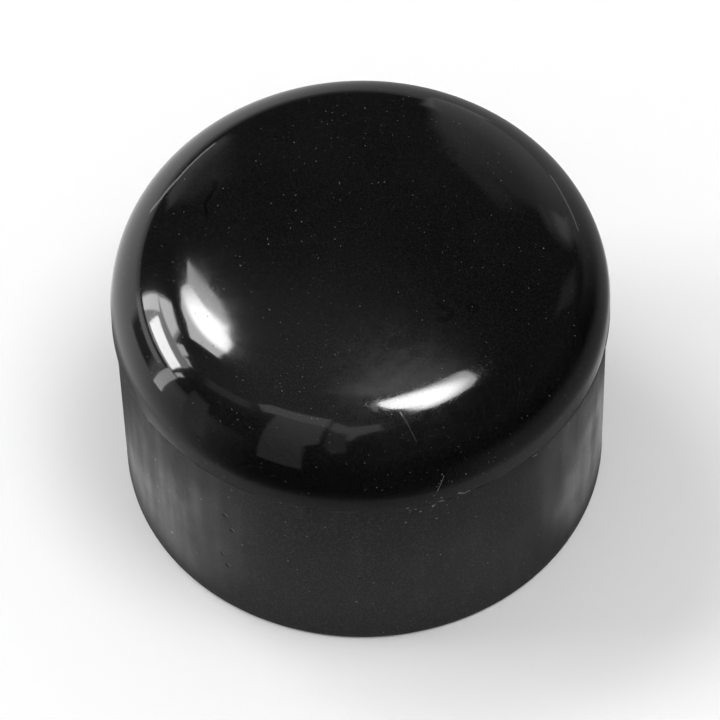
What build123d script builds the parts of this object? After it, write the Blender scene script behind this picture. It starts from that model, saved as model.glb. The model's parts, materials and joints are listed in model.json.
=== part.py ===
import os
from math import atan2, cos, degrees, radians, sqrt, tan

from build123d import *

# A domed push-on cap for the end of a round tube, moulded in one piece of soft
# vinyl. Sizes are in millimetres. The origin is the centre of the mouth rim, and
# +Z runs up the axis to the crown.

# The tube, and how the cap grips it
tube_diameter = 38.1
bore_squeeze = 0.1  # by how much the bore's radius is under the tube's
lead_in = 0.6  # chamfer that starts the tube into the bore

# Skirt, the straight lower half
skirt_height = 19.7  # from the mouth rim to the parting line
skirt_wall = 2.0  # at the mouth
skirt_draft = 0.2  # degrees, so that the skirt widens towards the parting line
mouth_edge_break = 0.3

# Dome, the upper half, which steps out over the skirt at the parting line
lip_overhang = 0.27
dome_wall_height = 1.65  # straight wall above the parting line
shoulder_radius = 7.6
crown_radius = 78.0

# Roof of the hollow, the print of a core with a rounded end
crown_wall = 2.4  # thickness on the axis
roof_radius = 42.0

# Radii of the walls, from the tube outwards
bore_radius = tube_diameter / 2 - bore_squeeze
mouth_radius = bore_radius + skirt_wall
skirt_top_radius = mouth_radius + skirt_height * tan(radians(skirt_draft))
lip_radius = skirt_top_radius + lip_overhang

# The shoulder arc starts upright on the dome's wall and ends tangent to the crown,
# so its centre lies on the line from the crown's centre to the point where they meet.
shoulder_start_height = skirt_height + dome_wall_height
shoulder_centre_radius = lip_radius - shoulder_radius
crown_centre_drop = sqrt((crown_radius - shoulder_radius) ** 2 - shoulder_centre_radius**2)
shoulder_sweep = atan2(crown_centre_drop, shoulder_centre_radius)
crown_centre_height = shoulder_start_height - crown_centre_drop
crown_base_radius = crown_radius * cos(shoulder_sweep)
cap_height = crown_centre_height + crown_radius
roof_centre_height = cap_height - crown_wall - roof_radius

# The large spheres lie on their side, so that neither pole falls on the cap.
on_its_side = (90, 0, 0)


# Hollow: a straight bore under a rounded roof
with BuildPart() as hollow:
    Cylinder(radius=bore_radius, height=cap_height, align=(Align.CENTER, Align.CENTER, Align.MIN))
    with Locations((0, 0, roof_centre_height)):
        Sphere(radius=roof_radius, rotation=on_its_side, mode=Mode.INTERSECT)

with BuildPart() as end_cap:
    # Turned blank: skirt, ledge at the parting line, dome wall and shoulder, then
    # straight up from where the shoulder meets the crown
    with BuildSketch(Plane.XZ):
        with BuildLine():
            rim = Line((0, 0), (mouth_radius, 0))
            skirt = Line(rim @ 1, (skirt_top_radius, skirt_height))
            ledge = Line(skirt @ 1, (lip_radius, skirt_height))
            dome_wall = Line(ledge @ 1, (lip_radius, shoulder_start_height))
            shoulder = JernArc(dome_wall @ 1, dome_wall % 1, shoulder_radius, degrees(shoulder_sweep))
            crown_stock = Line(shoulder @ 1, (crown_base_radius, cap_height))
            stock_top = Line(crown_stock @ 1, (0, cap_height))
            Line(stock_top @ 1, rim @ 0)
        make_face()
    revolve(axis=Axis.Z)

    # Crown: the sphere trims the stock down to the shoulder's end
    with Locations((0, 0, crown_centre_height)):
        Sphere(radius=crown_radius, rotation=on_its_side, mode=Mode.INTERSECT)

    add(hollow, mode=Mode.SUBTRACT)

    # Mouth rim: the inner edge leads the tube in, and the outer edge is broken
    rim_edges = end_cap.faces().sort_by(Axis.Z)[0].edges().sort_by(SortBy.RADIUS)
    chamfer(rim_edges[0], length=lead_in)
    chamfer(rim_edges[-1], length=mouth_edge_break)

end_cap.part.label = "end_cap"
os.makedirs("parts", exist_ok=True)
export_step(end_cap.part, "parts/end_cap.step")
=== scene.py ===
"""A domed push-on tube end cap, moulded in black vinyl, and the small studio it stands in.

Lengths are in metres. The cap's axis is Z, its mouth rim lies on Z = 0, and its front
faces -Y. An azimuth is measured round the axis from the front, positive towards +X.
"""

import json
from math import atan2, cos, pi, radians, sin, sqrt, tan

import bpy
import numpy as np
from bpy.props import FloatProperty, FloatVectorProperty, IntProperty, PointerProperty
from bpy.types import Operator, Panel, PropertyGroup
from mathutils import Matrix, Vector


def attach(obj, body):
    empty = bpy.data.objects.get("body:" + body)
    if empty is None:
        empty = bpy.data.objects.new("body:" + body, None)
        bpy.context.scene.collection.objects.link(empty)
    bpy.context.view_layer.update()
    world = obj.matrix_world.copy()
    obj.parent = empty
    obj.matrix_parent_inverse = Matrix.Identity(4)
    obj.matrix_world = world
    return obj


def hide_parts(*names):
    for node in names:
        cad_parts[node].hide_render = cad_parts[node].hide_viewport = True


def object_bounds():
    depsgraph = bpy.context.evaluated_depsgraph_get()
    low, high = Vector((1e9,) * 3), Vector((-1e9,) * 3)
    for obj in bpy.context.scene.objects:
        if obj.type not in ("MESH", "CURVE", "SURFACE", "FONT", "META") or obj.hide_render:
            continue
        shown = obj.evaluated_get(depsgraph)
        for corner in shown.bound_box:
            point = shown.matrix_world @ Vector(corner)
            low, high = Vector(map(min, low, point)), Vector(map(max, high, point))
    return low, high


bl_info = {
    "name": "Tube End Cap",
    "version": (1, 0, 0),
    "blender": (4, 5, 0),
    "location": "3D View > Sidebar > End Cap",
    "description": "Moulds a domed vinyl tube end cap and sets up a small studio round it",
    "category": "Add Mesh",
}

MILLIMETRE = 0.001

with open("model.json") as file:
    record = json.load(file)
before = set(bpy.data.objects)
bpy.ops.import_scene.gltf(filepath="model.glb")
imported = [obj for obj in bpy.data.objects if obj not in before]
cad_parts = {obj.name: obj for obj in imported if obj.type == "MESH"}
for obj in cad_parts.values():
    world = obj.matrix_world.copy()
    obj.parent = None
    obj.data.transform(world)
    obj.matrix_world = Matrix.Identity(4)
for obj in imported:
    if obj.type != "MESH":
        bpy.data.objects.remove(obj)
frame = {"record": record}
CAD_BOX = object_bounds()
BORE = next(mount for mount in frame["record"]["mounts"] if mount["name"] == "tube_bore")
BORE_RADIUS = BORE["dims"]["r_mm"] * MILLIMETRE
BORE_TOP = BORE["pos_m"][2] + BORE["dims"]["length_mm"] * MILLIMETRE / 2
LIP_RADIUS = min(*CAD_BOX[1][:2], *(-CAD_BOX[0])[:2])
CAP_HEIGHT = CAD_BOX[1][2]


# ---------------------------------------------------------------- sizes and colours


class CapShape(PropertyGroup):
    skirt_height: FloatProperty(
        name="Skirt Height", description="From the mouth rim to the parting line",
        default=0.0197, unit="LENGTH",
    )
    skirt_wall: FloatProperty(
        name="Skirt Wall", description="Wall thickness at the mouth", default=0.002, unit="LENGTH"
    )
    skirt_draft: FloatProperty(
        name="Skirt Draft", description="Slope of the skirt's outside",
        default=radians(0.2), unit="ROTATION",
    )
    lip_overhang: FloatProperty(
        name="Lip Overhang", description="By how much the dome stands out over the skirt",
        default=0.00027, unit="LENGTH",
    )
    dome_wall_height: FloatProperty(
        name="Dome Wall", description="Straight wall above the parting line", default=0.00165, unit="LENGTH"
    )
    shoulder_radius: FloatProperty(
        name="Shoulder Radius", description="Radius of the dome's shoulder", default=0.0076, unit="LENGTH"
    )
    crown_radius: FloatProperty(
        name="Crown Radius", description="Radius of the shallow top", default=0.078, unit="LENGTH"
    )
    crown_wall: FloatProperty(
        name="Crown Wall", description="Thickness of the top on the axis", default=0.0024, unit="LENGTH"
    )
    lead_in: FloatProperty(
        name="Lead-in", description="Bevel that starts the tube into the bore",
        default=0.0006, unit="LENGTH",
    )
    mouth_edge: FloatProperty(
        name="Mouth Edge", description="Radius of the skirt's outer bottom edge",
        default=0.00035, unit="LENGTH",
    )
    roof_corner: FloatProperty(
        name="Roof Corner", description="Radius between the bore and the roof",
        default=0.0012, unit="LENGTH",
    )
    flash_reach: FloatProperty(
        name="Flash Reach", description="How far the thread of flash stands out at the parting line",
        default=0.00003, unit="LENGTH",
    )
    flash_height: FloatProperty(
        name="Flash Height", description="Height of the thread of flash", default=0.00008, unit="LENGTH"
    )
    waviness: FloatProperty(
        name="Waviness", description="Depth of the slow waves that cooling leaves in the skin",
        default=0.00001, unit="LENGTH",
    )
    turns: IntProperty(name="Facets Round", description="Facets round the axis", default=448, min=24)


class CapFinish(PropertyGroup):
    dome_colour: FloatVectorProperty(
        name="Dome Colour", description="Black of the glossy dome",
        default=(0.0016, 0.0016, 0.0017), subtype="COLOR",
    )
    dome_roughness: FloatProperty(
        name="Dome Roughness", description="Roughness of the gloss",
        default=0.05, min=0, max=1, subtype="FACTOR",
    )
    haze: FloatProperty(
        name="Haze", description="Share of the gloss that handling has dulled", default=0.10, min=0, max=1,
        subtype="FACTOR",
    )
    haze_roughness: FloatProperty(
        name="Haze Roughness", description="Roughness of the dulled share",
        default=0.18, min=0, max=1, subtype="FACTOR",
    )
    skirt_colour: FloatVectorProperty(
        name="Skirt Colour", description="Black of the satin skirt",
        default=(0.0035, 0.0035, 0.0036), subtype="COLOR",
    )
    skirt_roughness: FloatProperty(
        name="Skirt Roughness", description="Roughness of the satin",
        default=0.6, min=0, max=1, subtype="FACTOR",
    )
    # Also the grey of the painted haze and painted glints on the dome and skirt.
    dust_and_sheen_colour: FloatVectorProperty(
        name="Dust Colour", description="Grey of the specks of dust",
        default=(0.35, 0.35, 0.34), subtype="COLOR",
    )


class Studio(PropertyGroup):
    floor_colour: FloatVectorProperty(
        name="Floor Colour", description="Pale floor", default=(0.88, 0.88, 0.88), subtype="COLOR"
    )
    lamp_level: FloatProperty(
        name="Lamp Level",
        description="Light of the softboxes on dull surfaces, as a share of their rims' gleam",
        default=0.93,
    )
    room_light: FloatProperty(
        name="Room Light", description="Even light of the room on dull surfaces", default=0.45
    )
    room_gleam: FloatProperty(
        name="Room Gleam", description="Brightness of the room in the gloss", default=0.04
    )
    camera_elevation: FloatProperty(
        name="Camera Elevation", description="Height of the camera above the level", default=radians(54.26),
        unit="ROTATION",
    )
    camera_roll: FloatProperty(
        name="Camera Roll", description="Tilt about the view", default=radians(-1.68), unit="ROTATION"
    )
    camera_distance: FloatProperty(
        name="Camera Distance", description="From the camera to the point it looks at",
        default=0.462, unit="LENGTH",
    )
    camera_lens: FloatProperty(
        name="Camera Lens", description="Focal length in millimetres", default=267, unit="CAMERA"
    )
    softbox_distance: FloatProperty(
        name="Softbox Distance", description="From the cap to the softboxes", default=1.5, unit="LENGTH"
    )
    floor_reach: FloatProperty(
        name="Floor Reach", description="Half the floor's width", default=1.8, unit="LENGTH"
    )


# ---------------------------------------------------------------- surfaces

# Points on each run of the cap's section
ROOF_POINTS, CORNER_POINTS, BORE_POINTS, LEDGE_POINTS, SKIRT_POINTS = 26, 8, 12, 3, 30
THREAD_POINTS, WALL_POINTS, SHOULDER_POINTS, CROWN_POINTS = 7, 5, 52, 40
# How far inside the ends of a straight run its extra points lie
BORE_MARGIN, SKIRT_MARGIN, RIM_MARGIN, LIP_MARGIN = 0.0001, 0.00006, 0.00004, 0.00002

WAVE_COUNT, WAVE_LENGTHS, WAVE_SEED = 9, (0.007, 0.018), 4
# The waves lose this share over this height above the parting line
CALM_HEIGHT, CALM_SHARE = 0.001, 0.9


def smooth(step):
    """A smooth step from 0 to 1: three times the square less twice the cube, and level outside."""
    step = np.clip(step, 0, 1)
    return step * step * (3 - 2 * step)


def straight(start, end, count, margin):
    """Section points on a straight run, and one more a margin inside each end, for crisp shading."""
    start, end = np.array(start, float), np.array(end, float)
    inset = margin / np.linalg.norm(end - start)
    steps = np.unique([*np.linspace(0, 1, count), inset, 1 - inset])
    return start + (end - start) * steps[:, None]


def arc(centre, radius, start, end, count):
    """Section points on a circular arc between two angles above the level."""
    angle = np.linspace(start, end, count)
    return np.stack([centre[0] + radius * np.cos(angle), centre[1] + radius * np.sin(angle)], -1)


def skin_waves(points, depth):
    """Slow waves from 0 to depth: the mean of a few sine waves that cross the cap in seeded directions."""
    rng = np.random.default_rng(WAVE_SEED)
    heading = rng.normal(size=(WAVE_COUNT, 3))
    heading /= np.linalg.norm(heading, axis=1, keepdims=True)
    wavelength = rng.uniform(*WAVE_LENGTHS, WAVE_COUNT)
    phase = rng.uniform(0, 2 * pi, WAVE_COUNT)
    waves = np.sin(points @ (heading * (2 * pi / wavelength)[:, None]).T + phase)
    return depth * (0.5 + 0.5 * waves.mean(-1))


def ring_faces(rings, turns):
    """The corner numbers of stacked rings, the same moved one on round each ring, and the quads between."""
    corner = np.arange(rings * turns).reshape(rings, turns)
    after = np.roll(corner, -1, axis=1)
    return corner, after, np.stack([corner[:-1], after[:-1], after[1:], corner[1:]], -1).reshape(-1, 4)


def turned_mesh(name, section, turns, skin):
    """A closed surface of revolution, as a function of the place along a section and the azimuth.

    Each section point (radius, height) is carried round Z. The first and the last point lie on
    the axis and become single corners. The skin function then moves every point, given the
    points and their outward directions, so that waves can cross the cap.
    """
    azimuth = np.arange(turns) * 2 * pi / turns
    ring = np.stack([np.sin(azimuth), -np.cos(azimuth), np.zeros(turns)], -1)
    rise = np.gradient(section, axis=0)
    rise /= np.linalg.norm(rise, axis=1, keepdims=True)
    inner = slice(1, -1)
    upright = np.array([0, 0, 1.0])
    points = section[inner, 0, None, None] * ring + section[inner, 1, None, None] * upright
    outward = rise[inner, 1, None, None] * ring - rise[inner, 0, None, None] * upright
    points = skin(points, outward)
    rings = len(points)
    corner, after, quads = ring_faces(rings, turns)
    first, last = rings * turns, rings * turns + 1
    start_fan = np.stack([np.full(turns, first), after[0], corner[0]], -1)
    end_fan = np.stack([np.full(turns, last), corner[-1], after[-1]], -1)
    poles = [(0, 0, section[0, 1]), (0, 0, section[-1, 1])]
    mesh = bpy.data.meshes.new(name)
    vertices = np.concatenate([points.reshape(-1, 3), poles])
    mesh.from_pydata(vertices.tolist(), [], quads.tolist() + start_fan.tolist() + end_fan.tolist())
    mesh.polygons.foreach_set("use_smooth", np.ones(len(mesh.polygons), bool))
    return mesh


def add_object(name, mesh):
    piece = bpy.data.objects.new(name, mesh)
    bpy.context.scene.collection.objects.link(piece)
    return piece


# ---------------------------------------------------------------- finishes

MIDDLE_GREY = (0.5, 0.5, 0.5)
ANY_HEIGHT = 1e6  # stretches an oval so far that its height doesn't count
# Shares of a spot and a stroke at full strength, and half the widths of an oval's soft edges
SPOT_CORE, STROKE_CORE, OVAL_EDGE, BARE_EDGE = 0.4, 0.6, 0.12, 0.1


def colour_of(value):
    """A colour with its alpha."""
    return (*value, 1.0)


class Wiring:
    """The nodes of a material."""

    def __init__(self, name):
        self.material = bpy.data.materials.new(name)
        self.material.use_nodes = True
        self.nodes = self.material.node_tree.nodes
        self.links = self.material.node_tree.links

    def add(self, kind, **settings):
        node = self.nodes.new(kind)
        for key, value in settings.items():
            setattr(node, key, value)
        return node

    def feed(self, socket, value):
        if isinstance(value, bpy.types.NodeSocket):
            self.links.new(value, socket)
        else:
            socket.default_value = value

    def math(self, operation, first, second=0.0):
        node = self.add("ShaderNodeMath", operation=operation)
        self.feed(node.inputs[0], first)
        self.feed(node.inputs[1], second)
        return node.outputs[0]

    def vector(self, operation, first, second=(0, 0, 0)):
        node = self.add("ShaderNodeVectorMath", operation=operation)
        self.feed(node.inputs[0], first)
        self.feed(node.inputs["Scale" if operation == "SCALE" else 1], second)
        return node.outputs["Value" if operation in ("DOT_PRODUCT", "DISTANCE", "LENGTH") else "Vector"]

    def ramp(self, value, start, end, low=0.0, high=1.0):
        """Goes smoothly from low, where the value is at start, to high, where it is at end."""
        node = self.add("ShaderNodeMapRange", interpolation_type="SMOOTHSTEP")
        for socket, setting in zip(node.inputs, (value, start, end, low, high)):
            self.feed(socket, setting)
        return node.outputs["Result"]

    def mix(self, factor, first, second):
        """Goes from the first colour, which may be a pattern, to the second as the factor rises."""
        node = self.add("ShaderNodeMix", data_type="RGBA")
        self.feed(node.inputs["Factor"], factor)
        self.feed(node.inputs["A"], first if isinstance(first, bpy.types.NodeSocket) else colour_of(first))
        self.feed(node.inputs["B"], colour_of(second))
        return node.outputs["Result"]

    def attribute(self, name):
        return self.add("ShaderNodeAttribute", attribute_name=name).outputs["Fac"]

    def total(self, *terms, base=0.0):
        """A base plus several patterns, each with its weight, such as a depth in millimetres."""
        result = base
        for pattern, weight in terms:
            result = self.math("ADD", result, self.math("MULTIPLY", pattern, weight))
        return result

    def product(self, first, *others):
        """Several patterns times each other."""
        for pattern in others:
            first = self.math("MULTIPLY", first, pattern)
        return first

    def show(self, shader):
        """Puts a shader in the place of the Principled one."""
        self.nodes.remove(self.nodes["Principled BSDF"])
        self.feed(self.nodes["Material Output"].inputs["Surface"], shader)


class Finish(Wiring):
    """One of the cap's finishes. Its patterns read the cap's own coordinates, in millimetres."""

    def __init__(self, name):
        super().__init__(name)
        self.surface = self.nodes["Principled BSDF"]
        self.place = self.vector("SCALE", self.add("ShaderNodeTexCoord").outputs["Object"], 1 / MILLIMETRE)

    def put(self, name, value):
        """Gives one of the shader's own sockets a number, a colour or a pattern."""
        self.feed(self.surface.inputs[name], value)

    def noise(self, per_millimetre, detail, stretch=(1, 1, 1)):
        node = self.add("ShaderNodeTexNoise")
        place = self.place if stretch == (1, 1, 1) else self.vector("MULTIPLY", self.place, stretch)
        self.feed(node.inputs["Vector"], place)
        node.inputs["Scale"].default_value = per_millimetre
        node.inputs["Detail"].default_value = detail
        return node.outputs["Fac"]

    def patches(self, per_millimetre, detail, start, end, low=0.0):
        """Patches of noise, which go from low, where the noise is at start, to 1, where it is at end."""
        return self.ramp(self.noise(per_millimetre, detail), start, end, low)

    def cells(self, size, offset):
        """Random cells: the nearest one's random colour, the way from its centre, and the colour's parts."""
        node = self.add("ShaderNodeTexVoronoi", feature="F1")
        place = self.vector("ADD", self.place, (offset, offset, offset))
        self.feed(node.inputs["Vector"], place)
        node.inputs["Scale"].default_value = 1 / size
        away = self.vector("SUBTRACT", place, node.outputs["Position"])
        chance = self.add("ShaderNodeSeparateColor")
        self.feed(chance.inputs["Color"], node.outputs["Color"])
        return node.outputs["Color"], away, chance.outputs

    def scratches(self, size, width, share, offset):
        """Hairlines: each cell is crossed by a thin plane, and the plane shows where it cuts the skin."""
        colour, away, chance = self.cells(size, offset)
        tilt = self.vector("NORMALIZE", self.vector("SUBTRACT", colour, MIDDLE_GREY))
        off_line = self.math("ABSOLUTE", self.vector("DOT_PRODUCT", away, tilt))
        line = self.ramp(off_line, width / 2, 0.0)
        return self.math("MULTIPLY", line, self.math("LESS_THAN", chance["Green"], share))

    def specks(self, size, radius, share, offset):
        """Dots: a small ball about the centre of a share of the cells, where it meets the skin."""
        _, away, chance = self.cells(size, offset)
        reach = self.math("MULTIPLY", chance["Red"], radius)
        core = self.math("MULTIPLY", reach, SPOT_CORE)
        dot = self.ramp(self.vector("LENGTH", away), reach, core)
        return self.math("MULTIPLY", dot, self.math("LESS_THAN", chance["Green"], share))

    def stroke(self, start, end, width):
        """A straight hairline on the skin between two places, which fades towards its ends."""
        along = (end - start).normalized()
        across = along.cross((start + end).normalized()).normalized()
        away = self.vector("SUBTRACT", self.place, start)
        off_line = self.math("ABSOLUTE", self.vector("DOT_PRODUCT", away, across))
        line = self.ramp(off_line, width / 2, 0.0)
        travelled = self.vector("DOT_PRODUCT", away, along)
        middle = (end - start).length / 2
        from_middle = self.math("ABSOLUTE", self.math("SUBTRACT", travelled, middle))
        return self.math("MULTIPLY", line, self.ramp(from_middle, middle, middle * STROKE_CORE))

    def oval(self, centre, reach, turn, bare):
        """A soft-edged oval on the crown, seen from above, less a share of its middle that is left bare."""
        node = self.add("ShaderNodeMapping", vector_type="TEXTURE")
        self.feed(node.inputs["Vector"], self.place)
        node.inputs["Location"].default_value = (*centre, 0)
        node.inputs["Rotation"].default_value = (0, 0, radians(turn))
        node.inputs["Scale"].default_value = (*reach, ANY_HEIGHT)
        far = self.vector("LENGTH", node.outputs["Vector"])
        filled = self.ramp(far, 1 + OVAL_EDGE, 1 - OVAL_EDGE)
        if not bare:
            return filled
        return self.math("MULTIPLY", filled, self.ramp(far, bare - BARE_EDGE, bare + BARE_EDGE))

    def dots(self, places):
        """Round spots on the skin, each given as azimuth, radius, height and its own radius."""
        spots = 0.0
        for azimuth, radius, height, size in places:
            away = self.vector("DISTANCE", self.place, on_skin(azimuth, radius, height))
            spots = self.math("ADD", spots, self.ramp(away, size, size * SPOT_CORE))
        return spots

    def strokes(self, runs):
        """Hairlines on the skin, each given as two places and a width."""
        lines = 0.0
        for start, end, width in runs:
            lines = self.math("ADD", lines, self.stroke(on_skin(*start), on_skin(*end), width))
        return lines

    def bump(self, height):
        """Relief from a height in millimetres."""
        node = self.add("ShaderNodeBump")
        node.inputs["Distance"].default_value = MILLIMETRE
        self.feed(node.inputs["Height"], height)
        self.put("Normal", node.outputs["Normal"])


def on_skin(azimuth, radius, height):
    """A place on the cap in millimetres, from its azimuth in degrees, radius and height."""
    return Vector((radius * sin(radians(azimuth)), -radius * cos(radians(azimuth)), height))


# The first colour is near black, for the marks on the crown and for painted shade.
WIPED_AND_SHADED_COLOUR, WHITE = (0.0005, 0.0005, 0.0005), (1, 1, 1)
UPRIGHT, ROUND = (1, 1, 0.1), (0.1, 0.1, 1)  # draw a pattern out upright, or level into rings

# Places on the skin are given as azimuth in degrees, and radius and height in millimetres.
LONG_SCRATCH = ((10.0, 17.10, 28.13), (13.0, 19.55, 26.19), 0.16)
# A real smear of grease by the top softbox's highlight; its grey is partly painted haze of that highlight.
SMEAR, SMEAR_RADIUS, SMEAR_CORE = (12.0, 14.5, 28.9), 8.0, 0.2
# Painted haze, a grey that stands in for the highlights' scattered light, is thickest about a place at the
# front left of the crown, and fades out down the shoulder between two heights.
PAINTED_HAZE_PLACE, PAINTED_HAZE_REACH, PAINTED_HAZE_CORE, PAINTED_HAZE_FOOT = (-14.9, 15.5, 28.7), 21.0, 2.0, (26.6, 28.0)
# A painted glint runs along the edge of the parting line, pale in patches: its height, and how far from it
# the glint starts and is full.
GLINT_LINE_HEIGHT, GLINT_LINE_REACH = 19.78, (0.12, 0.04)

# Noise: how much of it there is in a millimetre, and its detail.
SLOW_RIPPLE, FINE_RIPPLE = (0.5, 2), (5.0, 1)
DRAG, MOTTLE, GRAIN, BLASTING, DENTS = (0.6, 3), (0.22, 4), (5.5, 2), (9, 2), (0.35, 2)
CORE_RINGS, CORE_GRAIN = (1.2, 3), (8, 2)
# Patches of noise: the same, the values where a patch starts and is full, and what is left between patches.
FLASH_PATCHES, GLINT_LINE_PATCHES = (5.5, 2, 0.46, 0.56), (0.4, 3, 0.35, 0.6)
SMEAR_PATCHES, RUB_PATCHES = (0.9, 4, 0.35, 0.65, 0.2), (0.35, 5, 0.4, 0.8)
GREY_GRAIN, GREY_CLOUDS = (8.0, 2, 0.4, 0.72), (0.12, 4, 0.35, 0.75)
# Values of the noise between which grain, drag and rings turn pale, and between which they turn rough, and
# what that adds to the roughness of the skirt or, in the bore, makes of it.
PALE_GRAIN, PALE_DRAG, PALE_RINGS, ROUGHENED = (0.4, 0.72), (0.4, 0.625), (0.35, 0.7), (0.3, 0.7)
DRAG_ROUGHNESS, GRAIN_ROUGHNESS, BORE_ROUGHNESS = (-0.16, 0.04), (-0.02, 0.11), (0.42, 0.55)

# Dust and scratches: the size of their cells, the radius or width, the share of the cells that has one, and
# a shift that keeps the layers apart.
DOME_DUST = ((0.47, 0.06, 0.9, 3.31), (0.9, 0.06, 0.8, 13.0))
SKIRT_DUST = (0.8, 0.08, 0.8, 5.0)
STRANDS, HAIRLINES = (0.7, 0.04, 1.0, 51.0), (2.3, 0.05, 0.5, 31.0)
DOME_SCRATCHES, SKIRT_SCRATCHES = (2.9, 0.03, 0.4, 23.0), (3.0, 0.05, 0.3, 41.0)
# Fine scratches, each with its depth, and the share of it that they have away from the smear.
FINE_SCRATCHES = (
    ((0.35, 0.02, 1.0, 0.0), -0.0003), ((0.6, 0.02, 1.0, 7.0), -0.0004), ((1.0, 0.02, 0.8, 11.0), -0.0006),
)
UNSMEARED = 0.4

SKIRT_PITS = (
    (-34.7, 20.97, 14.14, 0.34), (-33.0, 20.97, 12.34, 0.30), (-36.2, 20.97, 7.85, 0.26),
    (-34.8, 20.97, 6.43, 0.34), (-14.5, 20.97, 8.3, 0.2), (-2.0, 20.97, 9.6, 0.2),
)
# Bits of flash and grit along the parting line and on the wall above it, each with its radius or width. They
# are painted pale, as painted glints.
WALL_GLINTING_BITS = (
    (-40.2, 21.29, 19.87, 0.09), (13.6, 21.29, 20.27, 0.08), (17.1, 21.29, 20.27, 0.11),
    (17.5, 21.04, 23.29, 0.08), (17.8, 21.10, 23.03, 0.08), (17.1, 21.18, 22.63, 0.07),
    (16.0, 21.26, 22.03, 0.07), (16.6, 21.27, 21.93, 0.08), (15.4, 21.29, 20.91, 0.07),
    (19.6, 21.25, 22.13, 0.08), (23.1, 21.21, 22.43, 0.09), (14.4, 21.29, 19.95, 0.08),
)
WALL_GLINTING_FLASH = (
    ((21.0, 21.29, 20.25), (22.7, 21.29, 19.80), 0.17), ((22.4, 21.29, 19.80), (24.2, 21.29, 20.00), 0.15),
    ((16.2, 21.29, 19.86), (17.9, 21.29, 19.78), 0.13), ((8.8, 21.29, 19.90), (9.6, 21.29, 19.80), 0.14),
)
# A torn line of flash on the wall, painted pale as a painted glint.
WALL_TEAR_AND_GLINT = ((17.9, 21.09, 23.10), (15.6, 21.29, 20.90), 0.07)
# Painted shade: a dark band beside the torn flash and below it.
WALL_TEAR_SHADE = ((17.4, 21.09, 23.10), (15.1, 21.29, 20.60), 0.20)
# Bits of flash and grit on the skirt, each with its radius or width, painted pale as painted glints.
SKIRT_GLINTING_BITS = (
    (-60.1, 21.02, 18.57, 0.14), (-56.1, 21.02, 19.28, 0.12), (-32.3, 21.02, 18.57, 0.09),
    (9.9, 21.02, 19.04, 0.10), (11.2, 21.02, 19.11, 0.09), (12.3, 21.02, 18.63, 0.13),
    (15.3, 21.02, 19.04, 0.15), (-53.4, 21.0, 4.70, 0.2), (8.9, 21.02, 17.4, 0.11),
    (16.1, 21.02, 17.0, 0.11), (18.6, 21.02, 18.6, 0.08), (-14.0, 21.02, 15.2, 0.08),
)
SKIRT_GLINTING_FLASH = (
    ((41.7, 21.02, 19.11), (43.5, 21.02, 18.90), 0.16), ((14.9, 21.02, 18.90), (16.0, 21.02, 19.20), 0.14),
)
# Marks on the crown where the grey, part of it painted haze, is cleared to near black: the middle and
# half-lengths in millimetres, seen from above, the turn in degrees, the share that is bare in the middle,
# and the strength.
CROWN_MARKS = (
    ((-12.05, 6.60), (0.34, 0.26), -45, 0, 0.85), ((-12.10, 6.00), (0.64, 0.24), 71, 0, 0.85),
    ((-12.58, 4.92), (0.70, 0.20), 63, 0, 0.85), ((-12.82, 3.65), (0.84, 0.18), 96, 0, 0.85),
    ((7.98, 8.85), (0.66, 0.60), 0, 0.66, 0.8), ((8.35, 9.00), (0.36, 0.20), 60, 0, 0.8),
    ((8.36, 7.49), (0.28, 0.22), 0, 0, 0.7), ((6.98, -7.60), (0.88, 0.28), -27, 0, 0.42),
    ((7.40, -8.40), (0.52, 0.24), 52, 0, 0.42), ((6.70, -8.80), (0.46, 0.30), 0, 0, 0.42),
    ((9.30, -7.55), (0.52, 0.40), 0, 0, 0.5), ((8.11, -6.75), (0.28, 0.22), 0, 0, 0.3),
    ((-13.73, 8.22), (0.22, 0.26), 0, 0, 0.8),
)


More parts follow.
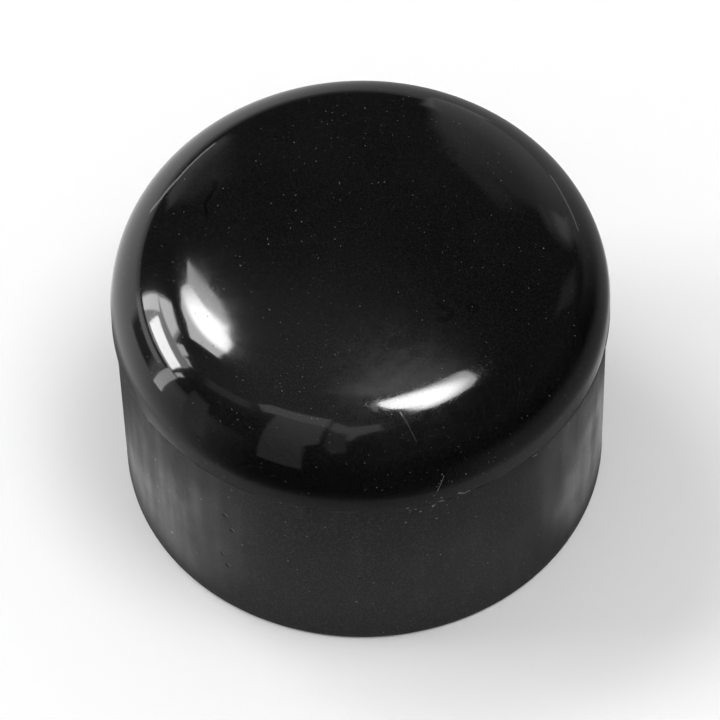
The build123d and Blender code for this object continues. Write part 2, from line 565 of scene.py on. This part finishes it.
def dome_gloss(look):
    """Polished black vinyl: a slow ripple, hairlines that glint round the highlights, a smear and dust, with
    painted haze, painted glints on the flash and the parting line, and painted shade beside a torn flash.
    """
    finish = Finish("dome_gloss")
    dust = finish.total(*((finish.specks(*layer), 1.0) for layer in DOME_DUST))
    ragged = finish.patches(*FLASH_PATCHES)
    tear_and_glint = finish.product(finish.strokes((WALL_TEAR_AND_GLINT,)), ragged)
    # Bits of flash and grit and the torn flash: real relief, and painted pale as painted glints.
    bits_and_glints = finish.math("ADD", finish.math("ADD", finish.dots(WALL_GLINTING_BITS), finish.strokes(WALL_GLINTING_FLASH)), tear_and_glint)
    height = finish.vector("DOT_PRODUCT", finish.place, (0, 0, 1))
    # Painted glint: a pale line along the edge of the parting line, in patches.
    from_line = finish.math("ABSOLUTE", finish.math("SUBTRACT", height, GLINT_LINE_HEIGHT))
    painted_glint_line = finish.product(finish.ramp(from_line, *GLINT_LINE_REACH), finish.patches(*GLINT_LINE_PATCHES))
    # Painted shade beside the torn flash, and the marks on the crown, both near black.
    wiped_and_shaded = finish.product(finish.strokes((WALL_TEAR_SHADE,)), ragged)
    for centre, reach, turn, bare, strength in CROWN_MARKS:
        mark = finish.product(finish.oval(centre, reach, turn, bare), strength)
        wiped_and_shaded = finish.math("MAXIMUM", wiped_and_shaded, mark)

    from_smear = finish.vector("DISTANCE", finish.place, on_skin(*SMEAR))
    smear = finish.ramp(from_smear, SMEAR_RADIUS, SMEAR_RADIUS * SMEAR_CORE)
    # The smear's grey, and that of the streaks in it, is partly grease and partly painted haze of the
    # highlight.
    smear_and_sheen = finish.product(smear, finish.patches(*SMEAR_PATCHES))
    strands_and_sheen = finish.product(smear, finish.scratches(*STRANDS))
    long_scratch = finish.strokes((LONG_SCRATCH,))
    # Painted haze: grey about a place at the front left of the crown, standing in for scattered highlight
    # light.
    from_painted_haze = finish.vector("DISTANCE", finish.place, on_skin(*PAINTED_HAZE_PLACE))
    painted_haze = finish.ramp(from_painted_haze, PAINTED_HAZE_REACH, PAINTED_HAZE_CORE)
    grey = finish.total(
        (finish.product(painted_haze, painted_haze, finish.ramp(height, *PAINTED_HAZE_FOOT)), 0.028),
        (finish.patches(*GREY_GRAIN), 0.020),
        (finish.patches(*GREY_CLOUDS), 0.004),
        (finish.scratches(*HAIRLINES), 0.014),
        (smear_and_sheen, 0.030),
        (strands_and_sheen, 0.05),
        (painted_glint_line, 0.07),
        (long_scratch, 0.08),
    )
    # Grey tone over the black: real grain, scratches, dust and smear, with painted haze and painted glints.
    tone_and_sheen = finish.mix(grey, look.dome_colour, look.dust_and_sheen_colour)
    tone_and_sheen = finish.mix(finish.total((dust, 0.38), (bits_and_glints, 0.5)), tone_and_sheen, look.dust_and_sheen_colour)
    finish.put("Base Color", finish.mix(wiped_and_shaded, tone_and_sheen, WIPED_AND_SHADED_COLOUR))
    finish.put("Roughness", finish.total(
        (finish.patches(*RUB_PATCHES), 0.04),
        (smear_and_sheen, 0.05),
        (dust, 0.5),
        base=look.dome_roughness,
    ))
    finish.put("IOR", 1.5)
    finish.put("Coat Weight", look.haze)
    finish.put("Coat Roughness", look.haze_roughness)
    fine = finish.total(*((finish.scratches(*layer), depth) for layer, depth in FINE_SCRATCHES))
    finish.bump(finish.total(
        (finish.noise(*SLOW_RIPPLE), 0.0003),
        (finish.noise(*FINE_RIPPLE), 0.00012),
        (finish.product(finish.math("ADD", UNSMEARED, smear), fine), 1.0),
        (finish.scratches(*DOME_SCRATCHES), -0.0004),
        (long_scratch, -0.010),
        (dust, 0.02),
        (bits_and_glints, 0.03),
    ))
    return finish.material


def skirt_satin(look):
    """Satin black vinyl: a fine blasted grain, faint upright drag marks, small pits and specks, and flash
    and grit with painted glints.
    """
    finish = Finish("skirt_satin")
    dust = finish.specks(*SKIRT_DUST)
    drag = finish.total((finish.noise(*DRAG, stretch=UPRIGHT), 0.5), (finish.noise(*MOTTLE), 0.5))
    grain = finish.noise(*GRAIN)
    # Bits of flash and grit: real relief, and painted pale as painted glints.
    bits_and_glints = finish.math("ADD", finish.dots(SKIRT_GLINTING_BITS), finish.strokes(SKIRT_GLINTING_FLASH))
    tone = finish.total(
        (finish.ramp(drag, *PALE_DRAG), 0.024),
        (finish.ramp(grain, *PALE_GRAIN), 0.086),
        (bits_and_glints, 0.5),
    )
    tone_and_sheen = finish.mix(tone, look.skirt_colour, look.dust_and_sheen_colour)
    finish.put("Base Color", finish.mix(dust, tone_and_sheen, look.dust_and_sheen_colour))
    low, high = (look.skirt_roughness + change for change in DRAG_ROUGHNESS)
    rough = finish.ramp(drag, *ROUGHENED, low, high)
    finish.put("Roughness", finish.math("ADD", rough, finish.ramp(grain, *ROUGHENED, *GRAIN_ROUGHNESS)))
    finish.put("IOR", 1.5)
    finish.put("Specular IOR Level", 0.3)
    finish.bump(finish.total(
        (finish.noise(*BLASTING), 0.002),
        (grain, 0.012),
        (finish.noise(*DENTS), 0.012),
        (finish.scratches(*SKIRT_SCRATCHES), -0.002),
        (finish.dots(SKIRT_PITS), -0.09),
        (bits_and_glints, 0.04),
        (dust, 0.02),
    ))
    return finish.material


def bore_satin(look):
    """The core's print inside: satin, with faint rings from the turned core."""
    finish = Finish("bore_satin")
    rings = finish.noise(*CORE_RINGS, stretch=ROUND)
    grain = finish.ramp(finish.noise(*GRAIN), *PALE_GRAIN)
    tone = finish.total((finish.ramp(rings, *PALE_RINGS), 0.02), (grain, 0.03), base=0.02)
    finish.put("Base Color", finish.mix(tone, look.skirt_colour, look.dust_and_sheen_colour))
    finish.put("Roughness", finish.ramp(rings, *ROUGHENED, *BORE_ROUGHNESS))
    finish.put("IOR", 1.53)
    finish.bump(finish.total((rings, 0.004), (finish.noise(*CORE_GRAIN), 0.002)))
    return finish.material


# ---------------------------------------------------------------- the cap


def cap_section(shape):
    """The cap's section, from the roof's middle down the bore, round the rim and up to the crown's top.

    Returns its points and, for each finish in turn, the number of points it covers.
    """
    mouth_radius = BORE_RADIUS + shape.skirt_wall
    skirt_top = mouth_radius + shape.skirt_height * tan(shape.skirt_draft)
    wall_radius = LIP_RADIUS - shape.flash_reach
    shoulder_height = shape.skirt_height + shape.dome_wall_height
    shoulder_centre = (wall_radius - shape.shoulder_radius, shoulder_height)
    crown_height = CAP_HEIGHT - shape.crown_radius
    crown_drop = shoulder_height - crown_height
    sweep = atan2(crown_drop, shoulder_centre[0])

    roof_middle = CAP_HEIGHT - shape.crown_wall
    roof_rise = roof_middle - BORE_TOP
    roof_radius = (BORE_RADIUS**2 + roof_rise**2) / (2 * roof_rise)
    roof_centre = roof_middle - roof_radius
    corner = shape.roof_corner
    corner_radius = BORE_RADIUS - corner
    corner_reach = roof_radius - corner
    corner_height = roof_centre + sqrt(corner_reach**2 - corner_radius**2)
    corner_angle = atan2(corner_height - roof_centre, corner_radius)

    edge, ledge_height = shape.mouth_edge, shape.skirt_height
    rim_start, rim_end = BORE_RADIUS + shape.lead_in, mouth_radius - edge
    half = shape.flash_height / 2
    ledge_end = LIP_RADIUS - half
    inside = [
        arc((0, roof_centre), roof_radius, pi / 2, corner_angle, ROOF_POINTS),
        arc((corner_radius, corner_height), corner, corner_angle, 0, CORNER_POINTS)[1:],
        straight((BORE_RADIUS, corner_height), (BORE_RADIUS, shape.lead_in), BORE_POINTS, BORE_MARGIN)[1:],
        straight((BORE_RADIUS, shape.lead_in), (rim_start, 0), LEDGE_POINTS, RIM_MARGIN)[1:],
    ]
    skirt = [
        straight((rim_start, 0), (rim_end, 0), LEDGE_POINTS, RIM_MARGIN)[1:],
        arc((rim_end, edge), edge, -pi / 2, 0, CORNER_POINTS)[1:],
        straight((mouth_radius, edge), (skirt_top, ledge_height), SKIRT_POINTS, SKIRT_MARGIN)[1:],
        straight((skirt_top, ledge_height), (ledge_end, ledge_height), LEDGE_POINTS, LIP_MARGIN)[1:],
    ]
    thread = arc((ledge_end, ledge_height + half), half, -pi / 2, pi / 2, THREAD_POINTS)
    wall_foot = ledge_height + shape.flash_height
    dome = [
        thread[thread[:, 0] > wall_radius],
        straight((wall_radius, wall_foot), (wall_radius, shoulder_height), WALL_POINTS, RIM_MARGIN),
        arc(shoulder_centre, shape.shoulder_radius, 0, sweep, SHOULDER_POINTS)[1:],
        arc((0, crown_height), shape.crown_radius, sweep, pi / 2, CROWN_POINTS)[1:],
    ]
    runs = [np.concatenate(run) for run in (inside, skirt, dome)]
    section = np.concatenate(runs)
    section[[0, -1], 0] = 0
    return section, [len(run) for run in runs]


class ENDCAP_OT_mould_cap(Operator):
    """Turn the cap's section into one closed skin and give each part of it its finish"""

    bl_idname = "endcap.mould_cap"
    bl_label = "Mould Cap"

    def execute(self, context):
        shape, look = context.scene.endcap_shape, context.scene.endcap_finish
        section, counts = cap_section(shape)

        def skin(points, outward):
            calm = np.clip((points[..., 2:] - shape.skirt_height) / CALM_HEIGHT, 0, 1)
            depth = skin_waves(points, shape.waviness)[..., None]
            return points - outward * depth * (1 - CALM_SHARE * calm)

        mesh = turned_mesh("cap_moulding", section, shape.turns, skin)
        finishes = (bore_satin(look), skirt_satin(look), dome_gloss(look))
        for material in finishes:
            mesh.materials.append(material)
        band = np.repeat(np.arange(len(finishes)), counts)[1:-1]
        fan_bands = (0, len(finishes) - 1)  # the fans that close the roof and the crown
        face_band = np.repeat([*band[1:], *fan_bands], shape.turns)
        mesh.polygons.foreach_set("material_index", face_band.astype(np.int32))
        cap = add_object("cap_moulding", mesh)
        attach(cap, "root")
        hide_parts("end_cap")
        return {"FINISHED"}


# ---------------------------------------------------------------- the studio


def direction(azimuth, elevation):
    """The unit vector towards an azimuth and an elevation."""
    return Vector((sin(azimuth) * cos(elevation), -cos(azimuth) * cos(elevation), sin(elevation)))


def gleam_point(shape, away, to_camera):
    """The place on the dome's polished shoulder from which the camera sees what lies in the direction away.

    Its outward direction is half way between the two; the place is the shoulder arc's centre
    circle plus the shoulder radius along that direction, or the same with the crown's sphere.
    """
    facing = (away + to_camera).normalized()
    level = Vector((facing.x, facing.y, 0))
    shoulder_height = shape.skirt_height + shape.dome_wall_height
    circle = LIP_RADIUS - shape.shoulder_radius
    crown_centre = CAP_HEIGHT - shape.crown_radius
    if facing.z * circle > level.length * (shoulder_height - crown_centre):
        return facing * shape.crown_radius + Vector((0, 0, crown_centre))
    return level.normalized() * circle + facing * shape.shoulder_radius + Vector((0, 0, shoulder_height))


def glow(name, rim, core=None, soft=False):
    """A light-giving material: rim brightness all over, rising to the core's brightness about one place.

    A core is given as its brightness, its place on the panel, and the radii where it starts and
    stops fading. A rim may also be the name of the attribute that holds the brightness. A soft
    panel thins out with its "cover" attribute.
    """
    panel = Wiring(name)
    light = panel.add("ShaderNodeEmission")
    if isinstance(rim, str):
        rim = panel.attribute(rim)
    if core is not None:
        brightness, centre, inner, outer = core
        from_core = panel.vector("DISTANCE", panel.add("ShaderNodeUVMap").outputs["UV"], (*centre, 0))
        rim = panel.ramp(from_core, inner, outer, brightness, rim)
    panel.feed(light.inputs["Strength"], rim)
    shader = light.outputs["Emission"]
    if soft:
        blend = panel.add("ShaderNodeMixShader")
        panel.feed(blend.inputs["Fac"], panel.attribute("cover"))
        panel.feed(blend.inputs[1], panel.add("ShaderNodeBsdfTransparent").outputs["BSDF"])
        panel.feed(blend.inputs[2], shader)
        shader = blend.outputs["Shader"]
    panel.show(shader)
    return panel.material


def glossy_only(piece):
    for ray in ("diffuse", "shadow", "camera", "transmission"):
        setattr(piece, "visible_" + ray, False)
    return piece


# Softboxes light the cap; cards are seen only in its gloss. Each hangs in one direction, given as
# azimuth and elevation. Its corners are offsets to the right and upwards, per metre of distance,
# and so is the width over which a card's border fades.
BACK, TOP, WINDOW, FRONT = (-128, 57), (60, 75), (-105, 25), (-25, 30)
RIGHT, LEFT_BACK, SIDE = (150, 22), (-157, 28), (-68, 5)
SOFTBOXES = (
    # name, aim, brightness of the rim, core, corners
    ("back_softbox", BACK, 9, (24, (-0.08, 0.04), 0.06, 0.17),
     ((-0.21, -0.06), (-0.12, -0.115), (0.02, -0.145), (0.10, -0.12), (0.235, -0.125), (0.20, -0.03),
      (0.19, 0.07), (0.0, 0.12), (-0.10, 0.13), (-0.165, 0.09))),
    ("top_softbox", TOP, 7, (24, (-0.03, -0.02), 0.12, 0.26),
     ((-0.17, 0.02), (-0.155, -0.07), (-0.19, -0.17), (-0.14, -0.235), (0.0, -0.265), (0.10, -0.26),
      (0.17, -0.21), (0.21, -0.12), (0.27, 0.04), (0.29, 0.12), (0.18, 0.15), (0.0, 0.17), (-0.06, 0.17),
      (-0.13, 0.11))),
    ("side_window", WINDOW, 18, None, ((-0.02, -0.20), (0.33, -0.18), (0.30, 0.02), (-0.07, 0.02))),
)
NEAR, FAR, FARTHEST = 0.024, 1.2, 1.6
CARDS = (
    # name, distance, aim, brightness or brightness and core, width of the soft border, corners
    ("back_softbox_side", FAR, BACK, 6.5, 0,
     ((-0.262, -0.105), (-0.20, -0.075), (-0.155, 0.085), (-0.16, 0.10), (-0.20, 0.04), (-0.235, -0.045))),
    ("top_softbox_veil", FAR, TOP, (0.12, (0.95, (0.20, 0.27), 0.05, 0.28)), 0.07,
     ((0.0, 0.20), (0.10, 0.42), (0.25, 0.42), (0.34, 0.37), (0.39, 0.29), (0.38, 0.18), (0.28, 0.10))),
    ("window_frame", FARTHEST, WINDOW, 3.0, 0,
     ((-0.20, -0.28), (0.34, -0.22), (0.30, 0.14), (0.08, 0.17), (-0.03, 0.31), (-0.24, 0.34))),
    ("window_head", FAR, WINDOW, 9.0, 0, ((-0.20, 0.10), (0.06, 0.14), (-0.04, 0.29), (-0.22, 0.32))),
    ("window_jamb", FAR, WINDOW, 9.0, 0, ((-0.18, -0.28), (-0.10, -0.25), (-0.10, 0.07), (-0.21, 0.10))),
    ("window_shelf", FAR, WINDOW, 7.0, 0, ((0.10, 0.15), (0.20, 0.15), (0.17, 0.25), (0.08, 0.26))),
    ("window_shelf_end", FAR, WINDOW, 5.0, 0, ((0.20, 0.16), (0.28, 0.15), (0.28, 0.20), (0.20, 0.22))),
    ("window_sill", NEAR, WINDOW, 1.6, 0.04, ((-0.22, -0.42), (0.26, -0.42), (0.28, -0.30), (-0.20, -0.32))),
    ("door_glass", NEAR, WINDOW, 4.0, 0.01, ((0.32, -0.90), (0.44, -0.90), (0.41, -0.20), (0.31, -0.22))),
    ("door_lamp", FAR, WINDOW, 6.0, 0, ((0.36, -0.18), (0.40, -0.18), (0.40, -0.05), (0.36, -0.05))),
    ("shade_card", NEAR, WINDOW, 0.12, 0.05, ((-0.12, -0.72), (0.24, -0.78), (0.20, -0.42), (-0.12, -0.42))),
    ("rail_card", FAR, FRONT, 0.85, 0.01,
     ((-0.27, 0.40), (0.07, 0.39), (0.05, 0.62), (-0.33, 0.60), (-0.40, 0.50), (-0.34, 0.36))),
    ("rail_end_card", FAR, FRONT, 0.7, 0.015,
     ((0.09, 0.56), (0.09, 0.36), (0.26, 0.13), (0.30, 0.30), (0.43, 0.46), (0.37, 0.62), (0.20, 0.47))),
    ("left_post_card", NEAR, FRONT, (0.27, (0.50, (0.10, 0.40), 0.2, 1.0)), 0.02,
     ((-0.37, -0.80), (0.02, -0.80), (0.0, -0.12), (0.085, -0.01), (0.06, 0.40), (-0.25, 0.40))),
    ("right_post_card", NEAR, FRONT, 0.26, 0.03,
     ((0.13, -0.05), (0.20, -0.20), (0.29, -0.12), (0.24, 0.16), (0.22, 0.30), (0.10, 0.32))),
    ("side_panel_card", NEAR, SIDE, 0.30, 0.04,
     ((-0.12, 0.25), (0.03, 0.22), (0.06, 0.0), (0.085, -0.29), (0.05, -0.55), (-0.12, -0.50))),
    ("side_head_card", FAR, FRONT, 0.26, 0.05, ((-0.90, 0.27), (-0.43, 0.29), (-0.45, 0.46), (-0.90, 0.47))),
    ("right_wall_card", NEAR, RIGHT, (0.17, (0.46, (0.30, -0.25), 0.25, 0.75)), 0.02,
     ((-0.30, -0.22), (-0.26, -0.34), (0.41, -0.44), (0.38, -0.20), (0.345, 0.06), (0.325, 0.225),
      (0.275, 0.285), (0.235, 0.31), (0.105, 0.375), (0.04, 0.35))),
    ("right_edge_card", NEAR, RIGHT, 0.62, 0.05, ((0.24, -0.52), (0.41, -0.50), (0.37, 0.0), (0.28, -0.02))),
    ("right_blob_card", NEAR, RIGHT, (0.31, (0.64, (-0.17, -0.05), 0.08, 0.22)), 0.05,
     ((-0.38, -0.30), (-0.05, -0.34), (0.06, -0.02), (0.085, 0.28), (0.0, 0.30), (-0.10, 0.27),
      (-0.20, 0.19), (-0.30, 0.08), (-0.38, -0.05))),
    ("right_streak_card", FAR, RIGHT, 0.20, 0.035,
     ((0.26, 0.27), (0.285, 0.31), (0.12, 0.42), (0.095, 0.39))),
    ("right_glint_card", NEAR, RIGHT, 1.2, 0,
     ((-0.05, -0.44), (-0.05, -0.41), (-0.17, -0.367), (-0.345, -0.382), (-0.345, -0.41), (-0.17, -0.397))),
    ("back_left_card", FAR, LEFT_BACK, (0.20, (0.46, (0.10, -0.30), 0.12, 0.50)), 0.03,
     ((-0.08, -0.24), (-0.115, 0.10), (-0.08, 0.20), (0.0, 0.21), (0.09, 0.08), (0.20, -0.07),
      (0.20, -0.24))),
    ("back_left_edge", NEAR, LEFT_BACK, 2.4, 0,
     ((0.335, -0.52), (0.295, -0.44), (0.255, -0.38), (0.190, -0.32), (0.124, -0.26), (0.057, -0.238),
      (-0.05, -0.217), (-0.05, -0.253), (0.055, -0.276), (0.118, -0.298), (0.180, -0.36), (0.240, -0.41),
      (0.28, -0.47), (0.32, -0.535))),
    ("right_door_card", FAR, RIGHT, 0.18, 0.08,
     ((-0.80, -0.05), (-0.55, -0.08), (-0.55, 0.22), (-0.78, 0.36))),
)

CAMERA_AIM = Vector((-0.0087 * LIP_RADIUS, 0, 0.5609 * LIP_RADIUS))
CAMERA_CLIP = (0.01, 10)
GLEAM_ROUNDS = 4  # guesses at a gleam's place, each better than the last

# The dark cloth's section, in lip radii: spread round the cap, held up, and closed over the room.
CLOTH_TURNS, CLOTH_STEPS = 180, 8
CLOTH_SECTION = (
    (1.0, 0.003), (1.42, 0.004), (1.55, 0.16), (1.67, 0.31), (1.80, 0.46), (3.0, 0.90), (14, 3.0), (86, 18),
    (80, 50), (50, 78), (0.1, 90),
)
# The brightness of the cloth's parts: an even base and humps, each given as its weight, its azimuth, and
# half of its flat top and of its whole width in degrees.
SPREAD = (0.15, (0.75, -12, 50, 85))
SPREAD_RIGHT = (0, (0.25, 112, 12, 35))
SPREAD_SIDES = (0, (2.6, -68, 12, 34), (2.8, 80, 12, 28))
FOOT = (0.22, (0.10, -95, 15, 60), (1.0, -138, 12, 29), (0.42, 135, 15, 45))
UPPER = (0, (0.9, -115, 10, 80), (0.28, 165, 25, 70))
UPPER_RIGHT = (0, (0.13, 75, 25, 60))
HEM = (0.02, (0.55, -115, 10, 80), (0.3, 150, 15, 35))
# The spread part brightens outwards between two radii, from a share, and its sides have their own radii.
SPREAD_REACH, SPREAD_INNER = (1, 1.42), 0.35
SIDES_REACH, SIDES_FADE = (1.02, 1.35), 0.12
# The foot fades into the upper part above its top, and a faint haze comes in higher up.
FOOT_TOP, FOOT_FADE, UPPER_HAZE = 0.13, 0.09, 0.02
# Heights between which the spread part passes into the foot, the upper part's right hump ends, the haze
# comes in, and the hem and the room take over.
SPREAD_TO_FOOT, RIGHT_END, HAZE_RISE = (0.0, 0.07), (0.5, 0.75), (0.7, 1.5)
TO_HEM, TO_ROOM = (1.1, 2.2), (3.0, 3.6)


def camera_place(studio):
    return CAMERA_AIM + direction(0, studio.camera_elevation) * studio.camera_distance


class ENDCAP_OT_set_studio(Operator):
    """Lay the floor, hang the softboxes and place the camera"""

    bl_idname = "endcap.set_studio"
    bl_label = "Set Studio"

    def execute(self, context):
        studio, shape = context.scene.endcap_studio, context.scene.endcap_shape
        self.lay_floor(studio)
        self.light_room(context.scene, studio)
        distance = studio.softbox_distance
        for name, aim, brightness, core, corners in SOFTBOXES:
            light = glow(name, brightness * studio.lamp_level)
            self.hang(name, aim, corners, distance, light, studio, shape).visible_glossy = False
            gleam = glow(name + "_gleam", brightness, core)
            glossy_only(self.hang(name + "_gleam", aim, corners, distance, gleam, studio, shape))
        for name, distance, aim, brightness, soft, corners in CARDS:
            rim, core = brightness if isinstance(brightness, tuple) else (brightness, None)
            card = glow(name, rim, core, soft > 0)
            glossy_only(self.hang(name, aim, corners, distance, card, studio, shape, soft))
        self.spread_cloth(studio)
        self.place_camera(context.scene, studio)
        context.scene.view_settings.view_transform = "Standard"
        return {"FINISHED"}

    def lay_floor(self, studio):
        reach = studio.floor_reach
        mesh = bpy.data.meshes.new("floor")
        corners = [(-reach, -reach, 0), (reach, -reach, 0), (reach, reach, 0), (-reach, reach, 0)]
        mesh.from_pydata(corners, [], [(0, 1, 2, 3)])
        card = Wiring("floor_card")
        seen = card.add("ShaderNodeLightPath").outputs["Is Camera Ray"]
        surface = card.add("ShaderNodeBsdfDiffuse")
        card.feed(surface.inputs["Color"], card.mix(seen, studio.floor_colour, WHITE))
        card.show(surface.outputs["BSDF"])
        mesh.materials.append(card.material)
        add_object("floor", mesh)

    def light_room(self, scene, studio):
        """The room lights dull surfaces evenly from every side. The gloss sees the dark cloth instead."""
        world = bpy.data.worlds.new("room")
        scene.world = world
        world.use_nodes = True
        background = world.node_tree.nodes["Background"]
        background.inputs["Color"].default_value = colour_of(WHITE)
        background.inputs["Strength"].default_value = studio.room_light
        world.cycles_visibility.glossy = False

    def hang(self, name, aim, corners, distance, material, studio, shape, soft=0.0):
        """A panel that faces the cap and gleams from its shoulder in the direction aimed at.

        Its UV map holds its corners' offsets, and its cover falls from 1 to 0 across a soft border.
        """
        away = direction(*map(radians, aim))
        right = Vector((cos(radians(aim[0])), sin(radians(aim[0])), 0))
        up = away.cross(right)
        camera = camera_place(studio)
        plan = np.array(corners, float)
        count = len(plan)
        faces = [tuple(range(count))]
        if soft:
            outward = plan - plan.mean(0)
            outward *= soft / np.linalg.norm(outward, axis=1, keepdims=True)
            plan = np.concatenate([plan - outward, plan + outward])
            faces += [(i, i + count, (i + 1) % count + count, (i + 1) % count) for i in range(count)]
        points = []
        for x, y in plan:
            ray = away + right * x + up * y
            start = Vector((0, 0, CAP_HEIGHT))
            for _ in range(GLEAM_ROUNDS):
                start = gleam_point(shape, ray.normalized(), (camera - start).normalized())
            points.append(start + ray * distance)
        mesh = bpy.data.meshes.new(name)
        mesh.from_pydata([tuple(point) for point in points], [], faces)
        corner = np.empty(len(mesh.loops), np.int32)
        mesh.loops.foreach_get("vertex_index", corner)
        mesh.uv_layers.new(name="place").data.foreach_set("uv", plan[corner].ravel().astype(np.float32))
        cover = mesh.attributes.new("cover", "FLOAT", "POINT")
        cover.data.foreach_set("value", (np.arange(len(plan)) < count).astype(np.float32))
        mesh.materials.append(material)
        piece = add_object(name, mesh)
        piece.visible_camera = False
        return piece

    def spread_cloth(self, studio):
        """A dark cloth spread round the cap, held up and closed over the room, seen only in the gloss.

        It is a surface of revolution: its section carried round Z. With the height its brightness
        passes smoothly from the spread part's to the foot's, the upper part's, the hem's and the
        room's. Each of these but the room's is a base plus smooth humps round the azimuth.
        """
        azimuth = np.arange(CLOTH_TURNS) * 2 * pi / CLOTH_TURNS
        section = np.array(CLOTH_SECTION)
        steps = np.linspace(0, 1, CLOTH_STEPS)[:-1, None]
        runs = [start + (end - start) * steps for start, end in zip(section[:-1], section[1:])]
        section = np.concatenate([*runs, section[-1:]])
        out, height = section[:, :1], section[:, 1:]
        ring = np.stack([np.sin(azimuth), -np.cos(azimuth)], -1)
        level = np.broadcast_to(height[..., None], (len(section), CLOTH_TURNS, 1))
        points = np.concatenate([out[..., None] * ring, level], -1) * LIP_RADIUS

        def part(base, *humps):
            """An even base and humps round the azimuth."""
            for weight, centre, flat, wide in humps:
                off = np.abs((np.degrees(azimuth) - centre + 180) % 360 - 180)
                base = base + weight * smooth((wide - off) / (wide - flat))
            return base

        def rise(start, end):
            return smooth((height - start) / (end - start))

        sides = np.clip(np.minimum(out - SIDES_REACH[0], SIDES_REACH[1] - out) / SIDES_FADE, 0, 1)
        outer = np.clip((out - SPREAD_REACH[0]) / (SPREAD_REACH[1] - SPREAD_REACH[0]), 0, 1)
        spread = part(*SPREAD) * (SPREAD_INNER + (1 - SPREAD_INNER) * outer)
        spread = spread + part(*SPREAD_RIGHT) + sides * part(*SPREAD_SIDES)
        upper = part(*UPPER) + part(*UPPER_RIGHT) * (1 - rise(*RIGHT_END)) + UPPER_HAZE * rise(*HAZE_RISE)
        above_foot = np.clip(height - FOOT_TOP, 0, None)
        brightness = upper + (part(*FOOT) - upper) * np.exp(-above_foot / FOOT_FADE)
        brightness = spread + (brightness - spread) * rise(*SPREAD_TO_FOOT)
        brightness = brightness + (part(*HEM) - brightness) * rise(*TO_HEM)
        brightness = brightness + (studio.room_gleam - brightness) * rise(*TO_ROOM)
        quads = ring_faces(len(section), CLOTH_TURNS)[2]
        mesh = bpy.data.meshes.new("dark_cloth")
        mesh.from_pydata(points.reshape(-1, 3).tolist(), [], quads.tolist())
        shade = mesh.attributes.new("shade", "FLOAT", "POINT")
        shade.data.foreach_set("value", brightness.ravel().astype(np.float32))
        mesh.materials.append(glow("dark_cloth", "shade"))
        glossy_only(add_object("dark_cloth", mesh))

    def place_camera(self, scene, studio):
        data = bpy.data.cameras.new("camera")
        data.lens = studio.camera_lens
        data.clip_start, data.clip_end = CAMERA_CLIP
        camera = bpy.data.objects.new("camera", data)
        scene.collection.objects.link(camera)
        place = camera_place(studio)
        turn = (CAMERA_AIM - place).to_track_quat("-Z", "Y").to_matrix().to_4x4()
        camera.matrix_world = Matrix.Translation(place) @ turn @ Matrix.Rotation(studio.camera_roll, 4, "Z")
        scene.camera = camera


class ENDCAP_PT_sidebar(Panel):
    bl_label = "End Cap"
    bl_idname = "ENDCAP_PT_sidebar"
    bl_space_type = "VIEW_3D"
    bl_region_type = "UI"
    bl_category = "End Cap"

    def draw(self, context):
        layout = self.layout
        for group in (context.scene.endcap_shape, context.scene.endcap_finish, context.scene.endcap_studio):
            box = layout.box()
            for key in group.__annotations__:
                box.prop(group, key)
        for operator in OPERATORS:
            layout.operator(operator.bl_idname)


OPERATORS = (ENDCAP_OT_mould_cap, ENDCAP_OT_set_studio)
CLASSES = (CapShape, CapFinish, Studio, *OPERATORS, ENDCAP_PT_sidebar)


def register():
    for item in CLASSES:
        bpy.utils.register_class(item)
    bpy.types.Scene.endcap_shape = PointerProperty(type=CapShape)
    bpy.types.Scene.endcap_finish = PointerProperty(type=CapFinish)
    bpy.types.Scene.endcap_studio = PointerProperty(type=Studio)


def unregister():
    del bpy.types.Scene.endcap_studio
    del bpy.types.Scene.endcap_finish
    del bpy.types.Scene.endcap_shape
    for item in reversed(CLASSES):
        bpy.utils.unregister_class(item)


def main():
    register()
    bpy.ops.endcap.set_studio()
    bpy.ops.endcap.mould_cap()


if __name__ == "__main__":
    main()
